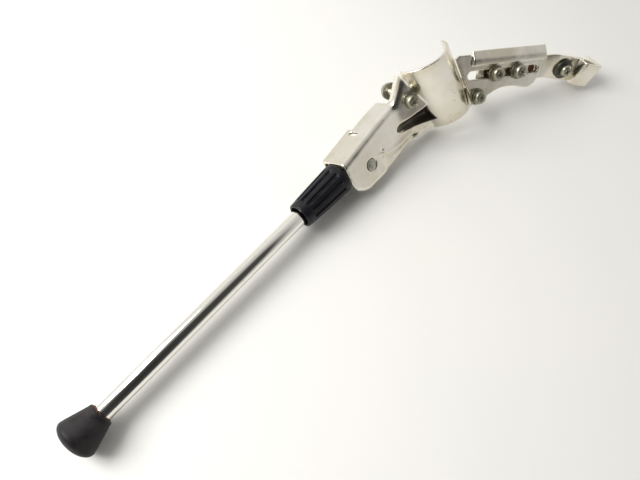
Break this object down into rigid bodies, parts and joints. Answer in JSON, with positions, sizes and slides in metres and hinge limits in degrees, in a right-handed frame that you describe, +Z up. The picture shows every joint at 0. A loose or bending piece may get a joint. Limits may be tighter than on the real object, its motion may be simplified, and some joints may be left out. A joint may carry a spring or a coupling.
{
  "type": "bicycle side stand",
  "caption": "Bicycle side stand: pressed body clamping the chainstay, folding sprung leg with rubber foot, slotted arm with a hook for the seatstay.",
  "frame": {"origin": "centre of the bounding box of the stand as it lies on its side, on the surface it lies on", "axes": "+X from the rubber foot towards the seatstay hook, +Z up from the surface, +Y towards the clamp side"},
  "size_m": [0.5564, 0.1212, 0.0849],
  "materials": {
    "plated_sheet": "bright plated steel sheet with fine scratches",
    "chromed_tube": "polished chromed steel tube, lightly scratched",
    "inner_steel": "plain turned and drawn steel",
    "zinc_plate": "zinc plated pressed steel",
    "fasteners": "dull zinc plated, slightly tarnished",
    "dark_zinc": "dark tarnished zinc",
    "black_plastic": "black satin plastic",
    "black_rubber": "black rubber, dusty"
  },
  "bodies": {
    "frame": {"stand_body": "plated_sheet", "pivot_rivet": "inner_steel", "bolt_a": "fasteners", "bolt_b": "fasteners", "flat_washer_a": "fasteners", "flat_washer_b": "fasteners", "spring_washer_a": "fasteners", "spring_washer_b": "fasteners"},
    "rod": {"pull_rod": "inner_steel", "leg_spring": "inner_steel"},
    "leg": {"leg_head": "inner_steel", "leg_tube": "chromed_tube", "tube_pin": "inner_steel", "collar": "black_plastic", "foot": "black_rubber"},
    "clamp": {"clamp_plate": "zinc_plate", "nut_a": "fasteners", "nut_b": "fasteners"},
    "arm": {"slotted_arm": "plated_sheet"},
    "hook": {"hook_arm": "plated_sheet", "bolt_c": "fasteners", "bolt_d": "fasteners", "flat_washer_c": "fasteners", "flat_washer_d": "fasteners", "spring_washer_c": "fasteners", "spring_washer_d": "fasteners", "nut_c": "fasteners", "nut_d": "fasteners", "bolt_e": "dark_zinc", "cup_washer_e": "dark_zinc"},
    "jaw": {"stay_jaw": "zinc_plate", "nut_e": "fasteners"}
  },
  "joints": [
    {"name": "leg_fold", "type": "hinge", "parent": "frame", "child": "rod", "pos_m": [0.017, 0.01247, 0.01631], "axis": [0.1577, -0.7909, 0.5912], "range_deg": [0, 88]},
    {"name": "leg_pull", "type": "slide", "parent": "rod", "child": "leg", "axis": [-0.978, -0.2079, -0.0173], "range_m": [0, 0.003], "stiffness_N_per_m": 2500, "springref_m": -0.004, "deforming": ["leg_spring"]},
    {"name": "chainstay_clamp", "type": "slide", "parent": "frame", "child": "clamp", "axis": [-0.1863, -0.8143, 0.5497], "range_m": [-0.003, 0.012]},
    {"name": "arm_swing", "type": "hinge", "parent": "frame", "child": "arm", "pos_m": [0.14095, -0.00288, 0.03152], "axis": [-0.1863, -0.8143, 0.5497], "range_deg": [-25, 0]},
    {"name": "arm_slide", "type": "slide", "parent": "arm", "child": "hook", "axis": [0.9364, -0.3165, -0.1514], "range_m": [-0.005, 0.02]},
    {"name": "stay_grip", "type": "slide", "parent": "hook", "child": "jaw", "axis": [-0.3226, -0.9034, 0.2825], "range_m": [-0.004, 0]}
  ]
}
